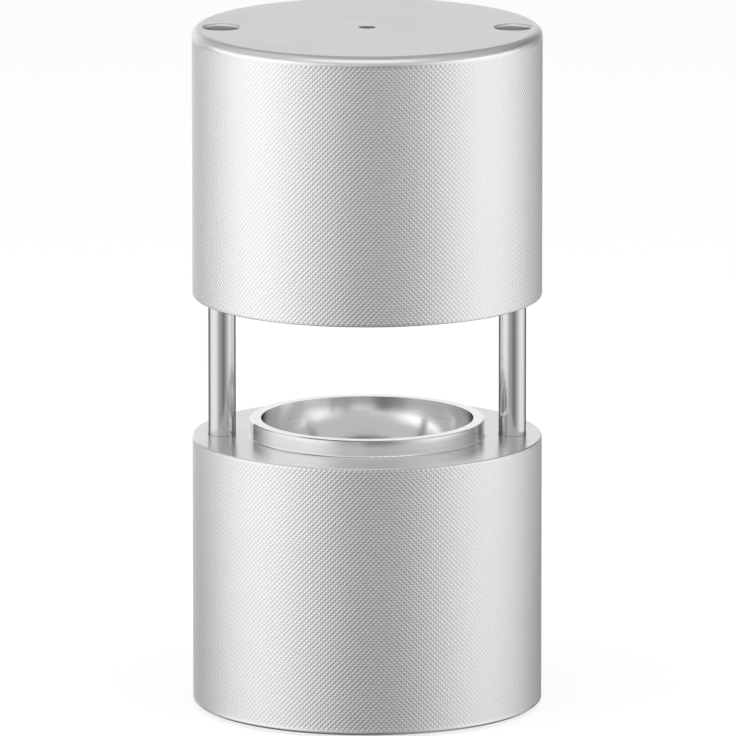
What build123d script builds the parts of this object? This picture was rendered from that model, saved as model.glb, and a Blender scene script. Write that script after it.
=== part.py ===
"""Ball press: two knurled aluminium blocks, each with half of a ball mould, on two guide rods.

Millimetres, +Z up, front towards -Y, rods on the X axis. The origin is under the middle of
the base, on the surface that the feet stand on. The top block is shown part of the way up.
"""
from build123d import *
import os

os.makedirs("parts", exist_ok=True)

# The ball mould
ball_diameter = 70.0
ring_wall = 3.65             # wall of the raised ring round the lower mould's mouth
ring_height = 5.5            # ring above the base's top face
ring_fit_clearance = 0.3     # radial gap between the ring and its recess in the top block
ring_head_clearance = 0.1    # recess deeper than the ring is high
ring_edge_break = 0.3
ring_foot_radius = 0.4       # fillet between the ring and the base's top face
recess_mouth_clearance = 0.2    # recess's mouth chamfer wider than that fillet

# The blocks
block_height = 89.0          # each block, between its flat faces
rest_gap = 47.0              # between the two parting faces, as shown
outer_wall = 3.75            # metal between a bush's bore and the outside of the block
knurl_depth = 0.15           # crest to root of the diamond knurl
top_edge_radius = 2.7        # outer edge of the top face
top_land = 0.2               # smooth band between that rounded edge and the knurl
base_chamfer = 0.8           # outer edge of the base's underside
base_land = 0.4              # smooth band between the base's chamfer and the knurl
parting_edge_break = 0.3     # outer edges of the two faces that meet
vent_diameter = 5.5          # from the upper mould to the top face
drain_diameter = 6.0         # from the lower mould to the underside
vent_edge_break = 0.2
bore_edge_radius = 0.8       # mouths of the two large bores in the top face
bore_edge_flat = 0.2         # least flat left between such a mouth and the rounded edge

# The guide rods
rod_diameter = 9.0
ring_to_rod = 4.6            # gap between the ring's outside and a rod
rod_below_top = 5.0          # rod ends below the top face when the press is closed
rod_tip_chamfer = 1.0
rod_bore_edge_break = 0.3    # mouths of the rod bores in the base

# The guide bushes, two in each bore of the top block
bush_wall = 1.45
bush_length = 12.0
bush_running_clearance = 0.05   # radial, rod to bush
bush_inset_bottom = 0.5         # lower bush above the parting face
bush_inset_top = 10.0           # upper bush below the top face
bush_edge_break = 0.3           # both ends, inside and outside

# The screws that hold the rods, from below
screw_diameter = 5.0
screw_head_diameter = 8.5
screw_head_height = 5.0
screw_edge_break = 0.5       # the head's end and the tip
screw_engagement = 12.0      # length of thread in the rod
screw_tip_space = 2.0        # tapped hole deeper than the screw reaches
screw_clearance = 0.25       # radial, screw to the hole in the base and to the washer
thread_clearance = 0.05      # radial, screw to the tapped hole
socket_width = 4.0           # across the flats of the hexagon
socket_depth = 2.5
washer_diameter = 10.0
washer_thickness = 1.0
washer_pocket_clearance = 0.5   # radial
screw_head_inset = 2.0       # screw's head above the base's underside
rod_shelf = 6.0              # metal between a rod's seat and its washer

# The feet
foot_diameter = 14.0
foot_recess = 3.0
foot_proud = 1.0
foot_edge_distance = 12.0    # from a foot's centre to the outside of the base
foot_side_clearance = 0.1    # radial
foot_edge_radius = 0.6       # of the face that the foot stands on

# Radii and places across the press
ball_radius = ball_diameter / 2
ring_radius = ball_radius + ring_wall
rod_radius = rod_diameter / 2
rod_x = ring_radius + ring_to_rod + rod_radius
bush_bore_radius = rod_radius + bush_running_clearance
bush_radius = bush_bore_radius + bush_wall
block_radius = rod_x + bush_radius + outer_wall
knurl_root_radius = block_radius - knurl_depth
recess_radius = ring_radius + ring_fit_clearance
recess_mouth_chamfer = ring_foot_radius + recess_mouth_clearance
bore_mouth_fillet = min(bore_edge_radius, outer_wall - top_edge_radius - bore_edge_flat)
screw_radius = screw_diameter / 2
screw_hole_radius = screw_radius + screw_clearance
washer_pocket_radius = washer_diameter / 2 + washer_pocket_clearance
foot_circle_radius = block_radius - foot_edge_distance

# Heights, from the surface up
base_bottom = foot_proud
base_knurl_bottom = base_bottom + base_chamfer + base_land
base_top = base_bottom + block_height
ring_top = base_top + ring_height
screw_head_z = base_bottom + screw_head_inset
washer_z = screw_head_z + screw_head_height
washer_top = washer_z + washer_thickness
rod_seat_z = washer_top + rod_shelf
rod_stand = block_height - rod_below_top
rod_length = base_top - rod_seat_z + rod_stand
top_block_bottom = base_top + rest_gap
recess_depth = ring_height + ring_head_clearance
recess_floor = top_block_bottom + recess_depth
top_block_top = top_block_bottom + block_height
top_knurl_top = top_block_top - top_edge_radius - top_land

sides = {"left": -rod_x, "right": rod_x}
rod_places = [(x, 0) for x in sides.values()]
foot_angles = {"back_right": 45, "back_left": 135, "front_left": 225, "front_right": 315}


# Base block: turned from bar, with the raised ring, the lower half of the mould, a bore for
# each rod and, underneath, pockets for the screws and recesses for the feet.
with BuildPart() as base_block:
    with BuildSketch(Plane.XY.offset(base_bottom)):
        Circle(block_radius)
    extrude(amount=block_height)
    chamfer(base_block.faces().sort_by(Axis.Z)[0].edges(), base_chamfer)
    # the knurled band, at the knurl's root
    with BuildSketch(Plane.XY.offset(base_knurl_bottom)):
        Circle(block_radius)
        Circle(knurl_root_radius, mode=Mode.SUBTRACT)
    extrude(amount=base_top - base_knurl_bottom, mode=Mode.SUBTRACT)
    chamfer(base_block.faces().sort_by(Axis.Z)[-1].edges(), parting_edge_break)
    # the raised ring and the lower half of the mould
    with BuildSketch(Plane.XY.offset(base_top)):
        Circle(ring_radius)
    extrude(amount=ring_height)
    chamfer(base_block.faces().sort_by(Axis.Z)[-1].edges(), ring_edge_break)
    ring_foot = base_block.edges().filter_by(GeomType.CIRCLE).filter_by_position(
        Axis.Z, base_top, base_top
    ).sort_by(SortBy.RADIUS)[0]
    fillet(ring_foot, ring_foot_radius)
    with Locations((0, 0, ring_top)):
        Sphere(ball_radius, mode=Mode.SUBTRACT)
    # the drain, from the crown of the mould down through the underside
    with BuildSketch(Plane.XY.offset(base_bottom)):
        Circle(drain_diameter / 2)
    extrude(amount=ring_top - base_bottom, mode=Mode.SUBTRACT)
    # rod bores with broken mouths, down to the shelf that each rod stands on
    with BuildSketch(Plane.XY.offset(rod_seat_z)):
        with Locations(*rod_places):
            Circle(rod_radius)
    extrude(amount=base_top - rod_seat_z, mode=Mode.SUBTRACT)
    top_edges = base_block.edges().filter_by(GeomType.CIRCLE).filter_by_position(
        Axis.Z, base_top, base_top
    )
    rod_mouths = top_edges.group_by(SortBy.RADIUS)[0]
    chamfer(rod_mouths, rod_bore_edge_break)
    # screw holes through the shelves, and the pockets for the screws' heads and washers
    with BuildSketch(Plane.XY.offset(washer_top)):
        with Locations(*rod_places):
            Circle(screw_hole_radius)
    extrude(amount=rod_shelf, mode=Mode.SUBTRACT)
    with BuildSketch(Plane.XY.offset(base_bottom)):
        with Locations(*rod_places):
            Circle(washer_pocket_radius)
    extrude(amount=washer_top - base_bottom, mode=Mode.SUBTRACT)
    # recesses for the feet
    with BuildSketch(Plane.XY.offset(base_bottom)):
        with PolarLocations(foot_circle_radius, len(foot_angles), start_angle=min(foot_angles.values())):
            Circle(foot_diameter / 2 + foot_side_clearance)
    extrude(amount=foot_recess, mode=Mode.SUBTRACT)
base_block.part.label = "base_block"
export_step(base_block.part, "parts/base_block.step")


# Top block: the same bar, with a recess that closes over the ring, the upper half of the
# mould, a vent at its crown and a plain bore right through for each rod and its bushes.
with BuildPart() as top_block:
    with BuildSketch(Plane.XY.offset(top_block_bottom)):
        Circle(block_radius)
    extrude(amount=block_height)
    fillet(top_block.faces().sort_by(Axis.Z)[-1].edges(), top_edge_radius)
    # the knurled band, at the knurl's root
    with BuildSketch(Plane.XY.offset(top_block_bottom)):
        Circle(block_radius)
        Circle(knurl_root_radius, mode=Mode.SUBTRACT)
    extrude(amount=top_knurl_top - top_block_bottom, mode=Mode.SUBTRACT)
    chamfer(top_block.faces().sort_by(Axis.Z)[0].edges(), parting_edge_break)
    # the recess for the ring and the upper half of the mould
    with BuildSketch(Plane.XY.offset(top_block_bottom)):
        Circle(recess_radius)
    extrude(amount=recess_depth, mode=Mode.SUBTRACT)
    recess_mouth = top_block.edges().filter_by(GeomType.CIRCLE).filter_by_position(
        Axis.Z, top_block_bottom, top_block_bottom
    ).sort_by(SortBy.RADIUS)[0]
    chamfer(recess_mouth, recess_mouth_chamfer)
    with Locations((0, 0, recess_floor)):
        Sphere(ball_radius, mode=Mode.SUBTRACT)
    # the vent and the rod bores, with the edges of their mouths broken or rounded
    with BuildSketch(Plane.XY.offset(recess_floor)):
        Circle(vent_diameter / 2)
    extrude(amount=top_block_top - recess_floor, mode=Mode.SUBTRACT)
    with BuildSketch(Plane.XY.offset(top_block_bottom)):
        with Locations(*rod_places):
            Circle(bush_radius)
    extrude(amount=block_height, mode=Mode.SUBTRACT)
    top_edges = top_block.edges().filter_by(GeomType.CIRCLE).filter_by_position(
        Axis.Z, top_block_top, top_block_top
    )
    vent_mouth, bore_mouths = top_edges.group_by(SortBy.RADIUS)[:2]
    chamfer(vent_mouth, vent_edge_break)
    fillet(bore_mouths, bore_mouth_fillet)
top_block.part.label = "top_block"
export_step(top_block.part, "parts/top_block.step")


# Guide rods: ground steel bar, tapped at the lower end, with a chamfered tip.
for side, x in sides.items():
    with BuildPart() as guide_rod:
        with BuildSketch(Plane.XY.offset(rod_seat_z)):
            with Locations((x, 0)):
                Circle(rod_radius)
        extrude(amount=rod_length)
        chamfer(guide_rod.faces().sort_by(Axis.Z)[-1].edges(), rod_tip_chamfer)
        with BuildSketch(Plane.XY.offset(rod_seat_z)):
            with Locations((x, 0)):
                Circle(screw_radius + thread_clearance)
        extrude(amount=screw_engagement + screw_tip_space, mode=Mode.SUBTRACT)
    guide_rod.part.label = f"guide_rod_{side}"
    export_step(guide_rod.part, f"parts/guide_rod_{side}.step")


# Guide bushes: plastic sleeves pressed in the top block's bores, one near each end, with their
# edges broken so that the rod finds its way in.
bush_heights = {
    "lower": top_block_bottom + bush_inset_bottom,
    "upper": top_block_top - bush_inset_top - bush_length,
}
for end, z in bush_heights.items():
    for side, x in sides.items():
        with BuildPart() as guide_bush:
            with BuildSketch(Plane.XY.offset(z)):
                with Locations((x, 0)):
                    Circle(bush_radius)
                    Circle(bush_bore_radius, mode=Mode.SUBTRACT)
            extrude(amount=bush_length)
            chamfer(guide_bush.edges().filter_by(GeomType.CIRCLE), bush_edge_break)
        guide_bush.part.label = f"{end}_bush_{side}"
        export_step(guide_bush.part, f"parts/{end}_bush_{side}.step")


# Rod screws: socket head cap screws, up through the base into the rods.
for side, x in sides.items():
    with BuildPart() as rod_screw:
        with BuildSketch(Plane.XY.offset(screw_head_z)):
            with Locations((x, 0)):
                Circle(screw_head_diameter / 2)
        extrude(amount=screw_head_height)
        with BuildSketch(Plane.XY.offset(washer_z)):
            with Locations((x, 0)):
                Circle(screw_radius)
        extrude(amount=rod_seat_z + screw_engagement - washer_z)
        for end_face in (rod_screw.faces().sort_by(Axis.Z)[0], rod_screw.faces().sort_by(Axis.Z)[-1]):
            chamfer(end_face.edges(), screw_edge_break)
        with BuildSketch(Plane.XY.offset(screw_head_z)):
            with Locations((x, 0)):
                RegularPolygon(socket_width / 2, 6, major_radius=False)
        extrude(amount=socket_depth, mode=Mode.SUBTRACT)
    rod_screw.part.label = f"rod_screw_{side}"
    export_step(rod_screw.part, f"parts/rod_screw_{side}.step")


# Rod washers: between each screw's head and the base.
for side, x in sides.items():
    with BuildPart() as rod_washer:
        with BuildSketch(Plane.XY.offset(washer_z)):
            with Locations((x, 0)):
                Circle(washer_diameter / 2)
                Circle(screw_hole_radius, mode=Mode.SUBTRACT)
        extrude(amount=washer_thickness)
    rod_washer.part.label = f"rod_washer_{side}"
    export_step(rod_washer.part, f"parts/rod_washer_{side}.step")


# Feet: rubber discs in the base's recesses, standing proud so that the drain stays open.
for place, angle in foot_angles.items():
    with BuildPart() as foot:
        with BuildSketch(Plane.XY):
            with PolarLocations(foot_circle_radius, 1, start_angle=angle):
                Circle(foot_diameter / 2)
        extrude(amount=foot_proud + foot_recess)
        fillet(foot.faces().sort_by(Axis.Z)[0].edges(), min(foot_edge_radius, foot_proud))
    foot.part.label = f"foot_{place}"
    export_step(foot.part, f"parts/foot_{place}.step")
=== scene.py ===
"""Ball press: the finish of every piece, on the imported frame.

Metres, +Z up, front towards -Y, guide rods on the X axis.
"""
import math
import bpy
import numpy as np
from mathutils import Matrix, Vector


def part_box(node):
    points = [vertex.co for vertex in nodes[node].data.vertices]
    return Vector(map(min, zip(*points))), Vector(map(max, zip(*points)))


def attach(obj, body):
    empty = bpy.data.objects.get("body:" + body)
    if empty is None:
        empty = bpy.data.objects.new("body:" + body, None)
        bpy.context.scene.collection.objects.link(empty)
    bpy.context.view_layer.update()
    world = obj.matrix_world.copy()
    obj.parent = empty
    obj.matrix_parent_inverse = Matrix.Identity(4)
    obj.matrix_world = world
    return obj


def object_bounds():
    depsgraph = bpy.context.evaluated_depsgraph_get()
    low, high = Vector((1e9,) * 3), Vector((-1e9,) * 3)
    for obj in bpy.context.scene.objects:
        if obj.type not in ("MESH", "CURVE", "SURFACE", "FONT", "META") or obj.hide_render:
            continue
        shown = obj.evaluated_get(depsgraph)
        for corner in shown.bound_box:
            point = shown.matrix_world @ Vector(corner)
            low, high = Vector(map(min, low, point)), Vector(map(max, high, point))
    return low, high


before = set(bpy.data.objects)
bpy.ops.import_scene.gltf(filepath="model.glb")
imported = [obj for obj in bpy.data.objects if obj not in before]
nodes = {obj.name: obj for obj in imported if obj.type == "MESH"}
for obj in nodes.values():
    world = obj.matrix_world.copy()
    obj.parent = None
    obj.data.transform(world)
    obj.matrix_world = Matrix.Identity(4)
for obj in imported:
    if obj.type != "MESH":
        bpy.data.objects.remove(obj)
cad_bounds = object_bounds()


# ---------------------------------------------------------------------------------------------
# Base block. Turned from a solid bar of aluminium: the mould and the raised ring round its
# mouth are fine turned and bright, the parting face and the underside are faced and left
# satin. The guide rods stand in two bores in its parting face.

MM = 0.001


def add_node(tree, kind, **settings):
    """A shader node of that kind. Names with a capital are input sockets, the rest settings."""
    node = tree.nodes.new(kind)
    for name, value in settings.items():
        if name in node.inputs and name[0].isupper():
            node.inputs[name].default_value = value
        else:
            setattr(node, name, value)
    return node


def maths(tree, operation, *values):
    """The output of a Math node: operation on the values, each a number or an output socket."""
    node = add_node(tree, "ShaderNodeMath", operation=operation)
    for socket, value in zip(node.inputs, values):
        if isinstance(value, (int, float)):
            socket.default_value = value
        else:
            tree.links.new(value, socket)
    return node.outputs[0]


def smooth_step(tree, value, start, end, low=0.0, high=1.0):
    """low before start, high after end, and a smooth change from one to the other between."""
    node = add_node(tree, "ShaderNodeMapRange", interpolation_type="SMOOTHSTEP")
    tree.links.new(value, node.inputs["Value"])
    for name, number in zip(("From Min", "From Max", "To Min", "To Max"), (start, end, low, high)):
        node.inputs[name].default_value = number
    return node.outputs["Result"]


def object_place(tree):
    """The place in the frame, which Object coordinates give for a piece at the origin."""
    return add_node(tree, "ShaderNodeTexCoord").outputs["Object"]


def split_vector(tree, vector):
    """The X, Y and Z of a vector."""
    node = add_node(tree, "ShaderNodeSeparateXYZ")
    tree.links.new(vector, node.inputs[0])
    return node.outputs


def object_height(tree):
    """The height above the surface that the press stands on."""
    return split_vector(tree, object_place(tree))["Z"]


def radius_from(tree, axis_x):
    """The distance r from the nearer of the two upright axes at |x| = axis_x and y = 0."""
    place = split_vector(tree, object_place(tree))
    across = maths(tree, "SUBTRACT", maths(tree, "ABSOLUTE", place["X"]), axis_x)
    squares = maths(tree, "ADD", maths(tree, "MULTIPLY", across, across),
                    maths(tree, "MULTIPLY", place["Y"], place["Y"]))
    return maths(tree, "SQRT", squares)


def new_group(name, inputs, outputs):
    """A node group with float sockets of these names, and its input and output nodes."""
    group = bpy.data.node_groups.new(name, "ShaderNodeTree")
    for side, sockets in (("INPUT", inputs), ("OUTPUT", outputs)):
        for socket in sockets:
            group.interface.new_socket(socket, in_out=side, socket_type="NodeSocketFloat")
    return group, group.nodes.new("NodeGroupInput"), group.nodes.new("NodeGroupOutput")


def make_turning_group():
    """Marks of a turning tool round an upright axis.

    They are noise of one variable, t = (r + slant z) / pitch, where r is the distance from the
    axis at |x| = Axis X. So they run round at one radius on a flat face and at one height on a
    wall. Height is for a bump and Tone is the same marks with only the broad ones left: both
    are noise between 0 and 1, drawn towards a half where Amount is under 1.
    """
    slant = 1.37
    group, given, result = new_group(
        "turning_marks", ("Axis X", "Pitch", "Amount"), ("Height", "Tone"))
    group.interface.items_tree["Amount"].default_value = 1.0
    radius = radius_from(group, given.outputs["Axis X"])
    along = maths(group, "ADD", radius, maths(group, "MULTIPLY", object_height(group), slant))
    turns = maths(group, "DIVIDE", along, given.outputs["Pitch"])
    for name, frequency, detail in (("Height", 1.0, 3.0), ("Tone", 0.2, 1.0)):
        noise = add_node(
            group, "ShaderNodeTexNoise", noise_dimensions="1D", Scale=1.0, Detail=detail)
        group.links.new(maths(group, "MULTIPLY", turns, frequency), noise.inputs["W"])
        centred = maths(group, "SUBTRACT", noise.outputs["Fac"], 0.5)
        drawn_in = maths(group, "MULTIPLY", centred, given.outputs["Amount"])
        group.links.new(maths(group, "ADD", drawn_in, 0.5), result.inputs[name])
    return group


def make_grain_group():
    """Fine matt grain and soft handling marks, both from noise in space.

    Grain is noise of about one grain's size for a bump. Haze is noise some 25 mm across, turned
    into a mask between 0 and 1, for where a surface has been handled.
    """
    haze_scale, haze_low, haze_high = 40.0, 0.42, 0.66
    group, given, result = new_group("surface_grain", ("Grain Scale",), ("Grain", "Haze"))
    place = object_place(group)
    grain = add_node(group, "ShaderNodeTexNoise", Detail=2.0, Roughness=0.6)
    group.links.new(place, grain.inputs["Vector"])
    group.links.new(given.outputs["Grain Scale"], grain.inputs["Scale"])
    group.links.new(grain.outputs["Fac"], result.inputs["Grain"])
    haze = add_node(group, "ShaderNodeTexNoise", Scale=haze_scale, Detail=3.0, Roughness=0.5)
    group.links.new(place, haze.inputs["Vector"])
    mask = smooth_step(group, haze.outputs["Fac"], haze_low, haze_high)
    group.links.new(mask, result.inputs["Haze"])
    return group


turning_group = make_turning_group()
grain_group = make_grain_group()


def new_material(name):
    """A material with a node tree, and its Principled shader."""
    material = bpy.data.materials.new(name)
    material.use_nodes = True
    return material, material.node_tree, material.node_tree.nodes["Principled BSDF"]


def place_group(tree, group, **inputs):
    """A shared group placed in a material, with these values on its inputs."""
    node = add_node(tree, "ShaderNodeGroup", node_tree=group)
    for name, value in inputs.items():
        node.inputs[name.replace("_", " ")].default_value = value
    return node


def blend_colour(tree, mask, low, high):
    """The colour low where the mask is 0, high where it is 1."""
    node = add_node(tree, "ShaderNodeMix", data_type="RGBA")
    sockets = {socket.identifier: socket for socket in (*node.inputs, *node.outputs)}
    tree.links.new(mask, sockets["Factor_Float"])
    sockets["A_Color"].default_value = (*low, 1)
    sockets["B_Color"].default_value = (*high, 1)
    return sockets["Result_Color"]


def add_bump(tree, shader, height):
    """Tilts the shader's normal as a relief of that height, in metres, would."""
    bump = add_node(tree, "ShaderNodeBump", Strength=1.0, Distance=1.0)
    tree.links.new(height, bump.inputs["Height"])
    tree.links.new(bump.outputs["Normal"], shader.inputs["Normal"])


def turned_metal(name, colour, axis_x, pitch, mark_depth, grain_depth, roughness, amount=None):
    """Turned metal, with its marks round the upright axes at |x| = axis_x.

    roughness is a number or a function of the tree that gives a socket, and amount, if given,
    a function that gives how much of the marks is left, between 0 and 1.

    The turning marks and the grain add up in one bump. Broad marks change the tone by 3% and
    the roughness by 0.04, and handling marks add up to 0.015 more.
    """
    tone_change, mark_change, haze_change, grain_scale = 0.03, 0.04, 0.015, 6000.0
    material, tree, shader = new_material(name)
    shader.inputs["Metallic"].default_value = 1.0
    marks = place_group(tree, turning_group, Axis_X=axis_x, Pitch=pitch)
    if amount:
        tree.links.new(amount(tree), marks.inputs["Amount"])
    grain = place_group(tree, grain_group, Grain_Scale=grain_scale)
    darker = [c * (1 - tone_change) for c in colour]
    lighter = [c * (1 + tone_change) for c in colour]
    tone = blend_colour(tree, marks.outputs["Tone"], darker, lighter)
    tree.links.new(tone, shader.inputs["Base Color"])
    change = maths(tree, "ADD", maths(tree, "MULTIPLY", marks.outputs["Tone"], mark_change),
                   maths(tree, "MULTIPLY", grain.outputs["Haze"], haze_change))
    finish = roughness(tree) if callable(roughness) else roughness
    tree.links.new(maths(tree, "ADD", change, finish), shader.inputs["Roughness"])
    height = maths(tree, "ADD", maths(tree, "MULTIPLY", marks.outputs["Height"], mark_depth),
                   maths(tree, "MULTIPLY", grain.outputs["Grain"], grain_depth))
    add_bump(tree, shader, height)
    return material


ALUMINIUM = (0.81, 0.81, 0.815)
base_low, base_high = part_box("base_block")
RING_HEIGHT, RING_RADIUS = 5.5 * MM, 38.65 * MM
RING_FOOT = (0.1 * MM, 0.5 * MM)          # out from the ring, where the finish changes
UNDERSIDE = (3 * MM, 6 * MM)              # up from the bottom, where it changes again
parting_z = base_high.z - RING_HEIGHT
FACED_FINISH, MOULD_FINISH = 0.23, 0.12


def base_finish(tree):
    """The roughness: fine turned inside the ring and on it, coarser faced round it and below."""
    from_middle = radius_from(tree, axis_x=0.0)
    start, end = (RING_RADIUS + step for step in RING_FOOT)
    faced = smooth_step(tree, from_middle, start, end, MOULD_FINISH, FACED_FINISH)
    start, end = (base_low.z + step for step in UNDERSIDE)
    below = smooth_step(tree, object_height(tree), start, end, FACED_FINISH, MOULD_FINISH)
    return maths(tree, "MAXIMUM", faced, below)


base_metal = turned_metal(
    "base_aluminium", ALUMINIUM, axis_x=0.0, pitch=0.35 * MM, mark_depth=0.0015 * MM,
    grain_depth=0.0006 * MM, roughness=base_finish)


def finish_node(name, material):
    """Puts the material in a frame node's only material slot."""
    mesh = nodes[name].data
    mesh.materials.clear()
    mesh.materials.append(material)


finish_node("base_block", base_metal)


# ---------------------------------------------------------------------------------------------
# Knurl of the base block. A diamond knurl rolled into its side by two wheels, one pressed in
# a little less deep, from a smooth band above the bottom edge up to the parting face's edge.
# The ridges cross at right angles, 1.2 mm apart. Their points are painted lighter, a painted
# highlight for rounded crests, and the grooves painted darker, as painted shade.

KNURL_STARTS = 213
KNURL_DEPTH = 0.11 * MM          # the blocks' sides lie 0.15 mm inside the crests
SHALLOWER = 0.22                 # share of that depth that the weaker grooves lack halfway
KNURL_BACKING = 0.9 * MM         # from the crests to the sleeve's plain inside
PARTING_EDGE_BREAK = 0.3 * MM
crest_radius = base_high.x


def knurl_mesh(name, bottom, top, plain_end):
    """A sleeve with a diamond knurl outside, as a closed mesh.

    The outside is a grid of half steps of the knurl, column i round and row j up. Grooves cross
    where i + j is even, so the radius there is the crest radius less the depth, and where i + j
    is odd it is the crest radius: each odd point is the tip of a pyramid. A square that a groove
    rising to the right crosses is split along it. In the other squares the groove is less deep
    halfway, by SHALLOWER, at a middle point that its four corners fan out from. The row at
    plain_end stays at the crest radius and the row at the other end at the root. The inside is
    a plain wall.
    """
    columns = 2 * KNURL_STARTS
    half_step = math.pi * crest_radius / KNURL_STARTS
    rows = round((top - bottom) / half_step)

    def points_at(column, row, depth):
        """Points at a column and row of the grid, that far below the crests."""
        angle = 2 * np.pi * column / columns
        radius = crest_radius - depth
        height = bottom + (top - bottom) * row / rows
        points = np.stack([radius * np.cos(angle), radius * np.sin(angle), height], axis=-1)
        return points.reshape(-1, 3)

    ring = np.arange(columns)
    i, j = np.meshgrid(ring, np.arange(rows + 1))
    depth = np.where((i + j) % 2 == 0, KNURL_DEPTH, 0.0)
    plain_row, root_row = (rows, 0) if plain_end == "top" else (0, rows)
    depth[plain_row] = 0.0
    depth[root_row] = KNURL_DEPTH
    inside = [points_at(ring, np.full(columns, row), KNURL_BACKING) for row in (0, rows)]
    grid = np.concatenate([points_at(i, j, depth), *inside])

    i, j = np.meshgrid(ring, np.arange(rows))
    beside = (i + 1) % columns
    squares = np.stack([j * columns + i, j * columns + beside,
                        (j + 1) * columns + beside, (j + 1) * columns + i], axis=-1)
    to_right = (i + j) % 2 == 0
    split, fanned = squares[to_right], squares[~to_right]
    halfway = depth.ravel()[fanned[:, [1, 3]]].mean(axis=1) * (1 - SHALLOWER)
    middles = points_at(i[~to_right] + 0.5, j[~to_right] + 0.5, halfway)
    middle = len(grid) + np.arange(len(fanned))
    outside = [split[:, [0, 1, 2]], split[:, [0, 2, 3]]]
    outside += [np.stack([fanned[:, k], fanned[:, (k + 1) % 4], middle], 1) for k in range(4)]

    step = (ring + 1) % columns - ring
    low_out, high_out = ring, rows * columns + ring
    low_in = high_out + columns
    high_in = low_in + columns
    walls = [
        np.stack([low_in, high_in, high_in + step, low_in + step], 1),
        np.stack([low_out, low_in, low_in + step, low_out + step], 1),
        np.stack([high_out, high_out + step, high_in + step, high_in], 1),
    ]
    faces = np.concatenate(outside).tolist() + np.concatenate(walls).tolist()
    mesh = bpy.data.meshes.new(name)
    mesh.from_pydata(np.concatenate([grid, middles]).tolist(), [], faces)
    mesh.validate()
    return mesh


def knurled_metal(name, colour):
    """The knurl's metal. The crest mask is 0 at the grooves and 1 at the points, by the radius.

    Towards the points the metal is smoother and painted lighter, a painted highlight of rounded
    crests, and towards the grooves it is painted darker, as painted shade. Grain roughens it all
    over.
    """
    # The groove tone is painted shade in the grooves, and the point tone is a painted highlight at
    # the points.
    groove_shade_tone, point_highlight_tone, groove_finish, point_finish = 0.94, 1.02, 0.38, 0.34
    grain_scale, grain_depth = 5000.0, 0.0012 * MM
    material, tree, shader = new_material(name)
    shader.inputs["Metallic"].default_value = 1.0
    radius = radius_from(tree, axis_x=0.0)
    crest_highlight_and_polish = smooth_step(tree, radius, crest_radius - KNURL_DEPTH, crest_radius)
    # Painted shade in the grooves and a painted highlight at the points, blended by the radius.
    grooves, points = ([c * tone for c in colour] for tone in (groove_shade_tone, point_highlight_tone))
    tree.links.new(blend_colour(tree, crest_highlight_and_polish, grooves, points), shader.inputs["Base Color"])
    change = maths(tree, "MULTIPLY", crest_highlight_and_polish, point_finish - groove_finish)
    tree.links.new(maths(tree, "ADD", change, groove_finish), shader.inputs["Roughness"])
    grain = place_group(tree, grain_group, Grain_Scale=grain_scale)
    add_bump(tree, shader, maths(tree, "MULTIPLY", grain.outputs["Grain"], grain_depth))
    return material


knurl_metal = knurled_metal("knurled_aluminium", ALUMINIUM)


def add_knurl(name, bottom, top, plain_end, body):
    """The knurl as a piece that rides on the body that it is rolled into."""
    sleeve = bpy.data.objects.new(name, knurl_mesh(name, bottom, top, plain_end))
    bpy.context.scene.collection.objects.link(sleeve)
    sleeve.data.materials.append(knurl_metal)
    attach(sleeve, body)


BASE_CHAMFER, BASE_LAND = 0.8 * MM, 0.4 * MM
add_knurl("base_knurl", base_low.z + BASE_CHAMFER + BASE_LAND, parting_z - PARTING_EDGE_BREAK,
          "bottom", "base")


# ---------------------------------------------------------------------------------------------
# Guide rods. Hardened steel bar, ground and polished, so that the marks that are left run
# round it and hardly show. Seen at a slant the steel turns dark, which outlines the rods.

rod_low, rod_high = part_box("guide_rod_right")
rod_x = (rod_low.x + rod_high.x) / 2
SLANT_TINT = (0.1, 0.1, 0.1, 1)
rod_metal = turned_metal(
    "polished_steel", (0.64, 0.64, 0.65), axis_x=rod_x, pitch=0.2 * MM, mark_depth=0.0008 * MM,
    grain_depth=0.0, roughness=0.14)
rod_shader = rod_metal.node_tree.nodes["Principled BSDF"]
rod_shader.inputs["Specular Tint"].default_value = SLANT_TINT
for side in ("left", "right"):
    finish_node(f"guide_rod_{side}", rod_metal)


# ---------------------------------------------------------------------------------------------
# Rod screws and washers. Plain stainless, turned: the screws come up from below through the
# washers and hold the rods down.

stainless = turned_metal(
    "stainless_steel", (0.60, 0.60, 0.61), axis_x=rod_x, pitch=0.3 * MM, mark_depth=0.004 * MM,
    grain_depth=0.0008 * MM, roughness=0.22)
for side in ("left", "right"):
    finish_node(f"rod_screw_{side}", stainless)
    finish_node(f"rod_washer_{side}", stainless)


# ---------------------------------------------------------------------------------------------
# Feet. Discs of black rubber, moulded with a fine matt grain and pressed into recesses under
# the base. Dust turns them a little grey in places.

def matt_material(name, colour, dusty, roughness, grain_scale, grain_depth):
    """A matt material with a fine grain. Handling marks turn its colour to the dusty one."""
    material, tree, shader = new_material(name)
    grain = place_group(tree, grain_group, Grain_Scale=grain_scale)
    tone = blend_colour(tree, grain.outputs["Haze"], colour, dusty)
    tree.links.new(tone, shader.inputs["Base Color"])
    shader.inputs["Roughness"].default_value = roughness
    add_bump(tree, shader, maths(tree, "MULTIPLY", grain.outputs["Grain"], grain_depth))
    return material


rubber = matt_material(
    "black_rubber", (0.045, 0.045, 0.047), dusty=(0.065, 0.064, 0.062), roughness=0.7,
    grain_scale=3500.0, grain_depth=0.006 * MM)
for corner in ("front_left", "front_right", "back_left", "back_right"):
    finish_node(f"foot_{corner}", rubber)


# ---------------------------------------------------------------------------------------------
# Top block. The same bar as the base, with a satin top face, a rounded top edge, and a fine
# turned mould and recess. It slides down the rods until its recess closes over the base's ring.

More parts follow.
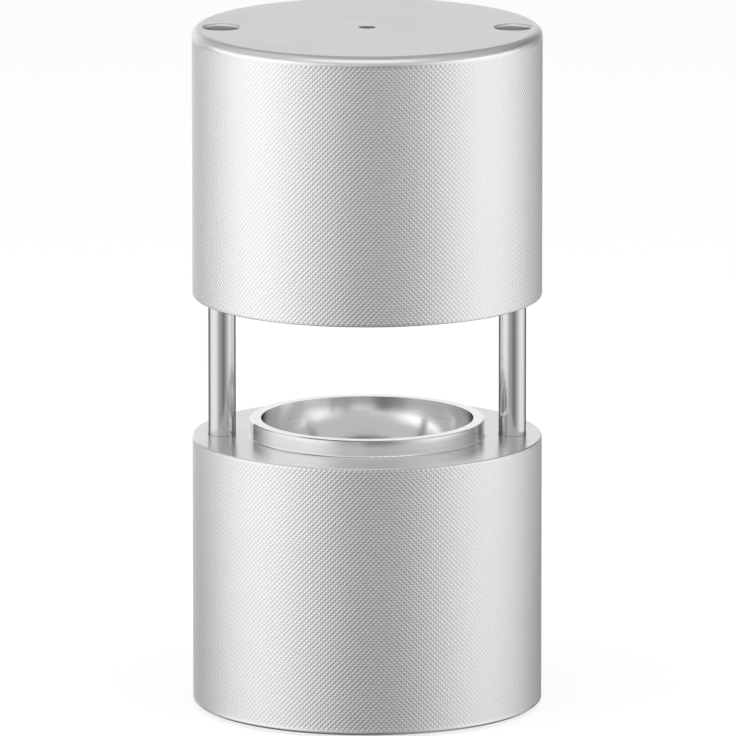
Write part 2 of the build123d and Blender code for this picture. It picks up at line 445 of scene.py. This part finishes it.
top_low, top_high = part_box("top_block")
TOP_FACE_FINISH, TURNED_FINISH, BORED_FINISH = 0.30, 0.18, 0.36
bush_low, bush_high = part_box("upper_bush_right")
bore_radius = (bush_high.x - bush_low.x) / 2
BORE_EDGE = (0.1 * MM, 0.3 * MM)          # out from the bore, where the finish changes
TOP_BAND = (9 * MM, 4 * MM)               # down from the top face, where it changes again
MARKS_ON_TOP = 0.05


def below_top(tree, low, high):
    """low on and above the rounded top edge, high on what lies below it."""
    start, end = (top_high.z - step for step in TOP_BAND)
    return smooth_step(tree, object_height(tree), start, end, high, low)


def top_finish(tree):
    """The roughness: a satin top face, fine turned walls and coarser bores for the rods."""
    faced = below_top(tree, TOP_FACE_FINISH, TURNED_FINISH)
    from_rod = radius_from(tree, axis_x=rod_x)
    start, end = (bore_radius + step for step in BORE_EDGE)
    bored = smooth_step(tree, from_rod, start, end, BORED_FINISH, 0.0)
    return maths(tree, "MAXIMUM", faced, bored)


top_metal = turned_metal(
    "top_aluminium", ALUMINIUM, axis_x=0.0, pitch=0.35 * MM, mark_depth=0.0008 * MM,
    grain_depth=0.0006 * MM, roughness=top_finish,
    amount=lambda tree: below_top(tree, MARKS_ON_TOP, 1.0))
finish_node("top_block", top_metal)


# ---------------------------------------------------------------------------------------------
# Knurl of the top block. The same diamond knurl, from just under the rounded top edge down to
# the edge of the parting face.

TOP_EDGE_RADIUS, TOP_LAND = 2.7 * MM, 0.2 * MM
add_knurl("top_knurl", top_low.z + PARTING_EDGE_BREAK, top_high.z - TOP_EDGE_RADIUS - TOP_LAND,
          "top", "top")


# ---------------------------------------------------------------------------------------------
# Guide bushes. Off-white plastic sleeves, turned and pressed into the top block's bores, two
# to each rod. The upper ones are sunk below the top face, so that its two large holes are open.

bush_plastic = matt_material(
    "bush_plastic", (0.84, 0.83, 0.79), dusty=(0.78, 0.77, 0.73), roughness=0.42,
    grain_scale=4500.0, grain_depth=0.002 * MM)
for side in ("left", "right"):
    finish_node(f"lower_bush_{side}", bush_plastic)
    finish_node(f"upper_bush_{side}", bush_plastic)


# ---------------------------------------------------------------------------------------------
# Floor. A wide pale sheet that the press stands on. The camera sees it nearly white, with the
# soft shadow of the press, and sees through it from below; the metal shows the studio's light
# below instead of it, dimmed near the press.

HALF_FLOOR = 3.0
FLOOR_DROP = 0.02 * MM           # keeps its face apart from the feet's
FLOOR_COLOUR, FLOOR_GLOW = 0.30, 0.76
NEAR_SHADE = 0.77                # what the metal shows of the light below, near the press
SHADE_START, SHADE_END = 240 * MM, 590 * MM     # from the axis, where that fades out


def mix_shaders(tree, factor, first, second):
    """The first shader where the factor is 0, the second where it is 1."""
    node = add_node(tree, "ShaderNodeMixShader")
    for value, socket in zip((factor, first, second), node.inputs):
        tree.links.new(value, socket)
    return node.outputs[0]


floor_mesh = bpy.data.meshes.new("floor")
corners = [(x * HALF_FLOOR, y * HALF_FLOOR, -FLOOR_DROP)
           for x, y in ((-1, -1), (1, -1), (1, 1), (-1, 1))]
floor_mesh.from_pydata(corners, [], [(0, 1, 2, 3)])
floor = bpy.data.objects.new("floor", floor_mesh)
bpy.context.scene.collection.objects.link(floor)

floor_material, tree, shader = new_material("pale_floor")
tree.nodes.remove(shader)
seen = add_node(tree, "ShaderNodeLightPath")
matt = add_node(tree, "ShaderNodeBsdfDiffuse", Color=(FLOOR_COLOUR,) * 3 + (1,))
glow = add_node(tree, "ShaderNodeEmission")
glow_seen = maths(tree, "MULTIPLY", seen.outputs["Is Camera Ray"], FLOOR_GLOW)
tree.links.new(glow_seen, glow.inputs["Strength"])
both = add_node(tree, "ShaderNodeAddShader")
tree.links.new(matt.outputs[0], both.inputs[0])
tree.links.new(glow.outputs[0], both.inputs[1])
backfacing = add_node(tree, "ShaderNodeNewGeometry").outputs["Backfacing"]
clear = add_node(tree, "ShaderNodeBsdfTransparent")
one_sided = mix_shaders(tree, backfacing, both.outputs[0], clear.outputs[0])
from_press = radius_from(tree, axis_x=0.0)
shade = smooth_step(tree, from_press, SHADE_START, SHADE_END, NEAR_SHADE, 1.0)
dimmed = add_node(tree, "ShaderNodeBsdfTransparent")
tree.links.new(shade, dimmed.inputs["Color"])
surface = mix_shaders(tree, seen.outputs["Is Glossy Ray"], one_sided, dimmed.outputs[0])
tree.links.new(surface, tree.nodes["Material Output"].inputs["Surface"])
floor_mesh.materials.append(floor_material)


# ---------------------------------------------------------------------------------------------
# Studio. Soft boxes on both sides and above, and a pale wall behind, drawn on the world so
# that the metal shows them. Matt surfaces get plain light from all round, and the camera sees
# white.

SOFT_BOXES = {
    # azimuth, half width and edge, then elevation, half height and edge, in degrees, and level
    "left_box": (-79, 18, 42, -20, 29, 9, 0.98),
    "right_box": (86, 6, 68, -37, 42, 8, 0.96),
    "front_box": (-5, 39, 25, 58, 16, 15, 0.58),
    "front_ceiling": (-17, 78, 79, 33, 35, 10, 0.38),
    "front_fill": (-25, 15, 14, -13, 17, 10, 0.23),
    "back_wall": (190, 11, 31, -5, 14, 21, 0.84),
    "back_ceiling": (180, 60, 50, 66, 24, 18, 0.22),
}
ROOM_LEVEL, PLAIN_LEVEL, WHITE_LEVEL = 0.226, 0.55, 1.0
HALF_TURN = 180.0

world = bpy.data.worlds.new("studio")
bpy.context.scene.world = world
world.use_nodes = True
tree = world.node_tree
tree.nodes.clear()
x, y, z = split_vector(tree, add_node(tree, "ShaderNodeTexCoord").outputs["Generated"])
to_degrees = HALF_TURN / math.pi
from_front = maths(tree, "ARCTAN2", x, maths(tree, "MULTIPLY", y, -1.0))
azimuth = maths(tree, "MULTIPLY", from_front, to_degrees)
elevation = maths(tree, "MULTIPLY", maths(tree, "ARCSINE", z), to_degrees)
level = ROOM_LEVEL
for box in SOFT_BOXES.values():
    azimuth_at, half_width, side_edge, elevation_at, half_height, end_edge, strength = box
    turned = maths(tree, "SUBTRACT", azimuth, azimuth_at)
    aside = maths(tree, "ABSOLUTE", maths(tree, "WRAP", turned, HALF_TURN, -HALF_TURN))
    above = maths(tree, "ABSOLUTE", maths(tree, "SUBTRACT", elevation, elevation_at))
    across = smooth_step(tree, aside, half_width, half_width + side_edge, 1.0, 0.0)
    upright = smooth_step(tree, above, half_height, half_height + end_edge, strength, 0.0)
    level = maths(tree, "ADD", level, maths(tree, "MULTIPLY", across, upright))
path = add_node(tree, "ShaderNodeLightPath")
studio = add_node(tree, "ShaderNodeBackground", Color=(1, 1, 1, 1))
tree.links.new(level, studio.inputs["Strength"])
plain, white = (
    add_node(tree, "ShaderNodeBackground", Color=(1, 1, 1, 1), Strength=strength).outputs[0]
    for strength in (PLAIN_LEVEL, WHITE_LEVEL))
lit = mix_shaders(tree, path.outputs["Is Diffuse Ray"], studio.outputs[0], plain)
sky = mix_shaders(tree, path.outputs["Is Camera Ray"], lit, white)
tree.links.new(sky, add_node(tree, "ShaderNodeOutputWorld").inputs["Surface"])


def add_lamp(name, place, size, power):
    """A square soft lamp that looks at the middle of the press. The metal doesn't show it."""
    lamp = bpy.data.lights.new(name, "AREA")
    lamp.size = size
    lamp.energy = power
    holder = bpy.data.objects.new(name, lamp)
    bpy.context.scene.collection.objects.link(holder)
    holder.location = place
    middle = (cad_bounds[0] + cad_bounds[1]) / 2
    holder.rotation_euler = (middle - holder.location).to_track_quat("-Z", "Y").to_euler()
    holder.visible_glossy = False
    holder.visible_camera = False


add_lamp("overhead_lamp", place=(0.0, -0.2, 1.6), size=1.2, power=8.0)
add_lamp("left_lamp", place=(-1.4, -0.7, 0.7), size=1.0, power=5.0)
add_lamp("right_lamp", place=(1.4, -0.5, 0.7), size=1.0, power=3.5)


# ---------------------------------------------------------------------------------------------
# Camera. Far off with a long lens, a little above the press and square to its front, so that
# the blocks' sides stay upright and the top face and the ring show as flat ellipses.

FRAME_WIDTH = 243.2 * MM         # what the picture spans at the press
SENSOR_WIDTH = 36.0
AIM_X = 0.26 * MM
AIM_UP = 109.9 * MM              # the picture's middle, along the picture's own upright
CAMERA_ELEVATION = math.radians(11.36)
CAMERA_DISTANCE = 5.0
CLIP_DISTANCE = 20.0
camera_data = bpy.data.cameras.new("camera")
camera_data.sensor_width = SENSOR_WIDTH
camera_data.lens = SENSOR_WIDTH * CAMERA_DISTANCE / FRAME_WIDTH
camera_data.clip_end = CLIP_DISTANCE
camera = bpy.data.objects.new("camera", camera_data)
bpy.context.scene.collection.objects.link(camera)
up_y, up_z = math.sin(CAMERA_ELEVATION), math.cos(CAMERA_ELEVATION)
camera.location = (
    AIM_X,
    -CAMERA_DISTANCE * up_z + AIM_UP * up_y,
    CAMERA_DISTANCE * up_y + AIM_UP * up_z,
)
camera.rotation_euler = (math.pi / 2 - CAMERA_ELEVATION, 0, 0)
bpy.context.scene.camera = camera
bpy.context.scene.view_settings.view_transform = "Standard"
